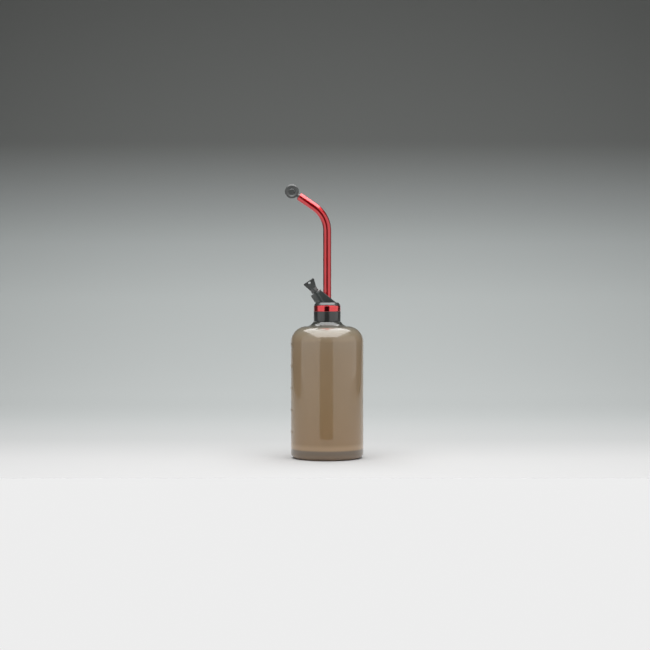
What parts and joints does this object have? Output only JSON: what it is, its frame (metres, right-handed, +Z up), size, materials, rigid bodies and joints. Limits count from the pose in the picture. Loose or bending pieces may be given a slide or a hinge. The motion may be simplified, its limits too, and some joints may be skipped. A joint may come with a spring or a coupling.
{
  "type": "fuel filler squeeze bottle",
  "caption": "Translucent squeeze bottle for fuel, with a screw cap, a bent metal spout, a leaning filler boss and two pull-out stoppers.",
  "frame": {"origin": "centre of the flat resting face, on the bottle's axis", "axes": "+Z up along the bottle's axis; the spout and the filler boss point towards -X"},
  "size_m": [0.0832, 0.077, 0.2899],
  "materials": {
    "smoked_plastic": "translucent smoked polyethylene, semi-gloss",
    "cap_plastic": "dark grey moulded plastic, satin",
    "red_anodised": "bright red anodised aluminium, polished",
    "liner_foam": "pale closed-cell washer",
    "seal_rubber": "black rubber",
    "plug_rubber": "dark grey moulded rubber, matt"
  },
  "bodies": {
    "bottle": {"bottle": "smoked_plastic"},
    "liner": {"cap_liner": "liner_foam"},
    "cap": {"cap": "cap_plastic", "cap_band": "red_anodised", "spout_tube": "red_anodised", "spout_o_ring": "seal_rubber"},
    "filler_plug": {"filler_plug": "plug_rubber"},
    "spout_plug": {"spout_plug": "plug_rubber"}
  },
  "joints": [
    {"name": "cap_lift", "type": "slide", "parent": "bottle", "child": "liner", "axis": [0, 0, 1], "range_m": [0, 0.0159]},
    {"name": "cap_turn", "type": "hinge", "parent": "liner", "child": "cap", "pos_m": [0, 0, 0.153], "axis": [0, 0, 1], "range_deg": [0, 1800]},
    {"name": "filler_plug_pull", "type": "slide", "parent": "cap", "child": "filler_plug", "axis": [-0.5446, 0, 0.8387], "range_m": [0, 0.015]},
    {"name": "spout_plug_pull", "type": "slide", "parent": "cap", "child": "spout_plug", "axis": [-0.8251, 0, 0.565], "range_m": [0, 0.015]}
  ],
  "couplings": [
    {"joint": "cap_lift", "follows": "cap_turn", "m_per_rad": 0.00050532}
  ]
}
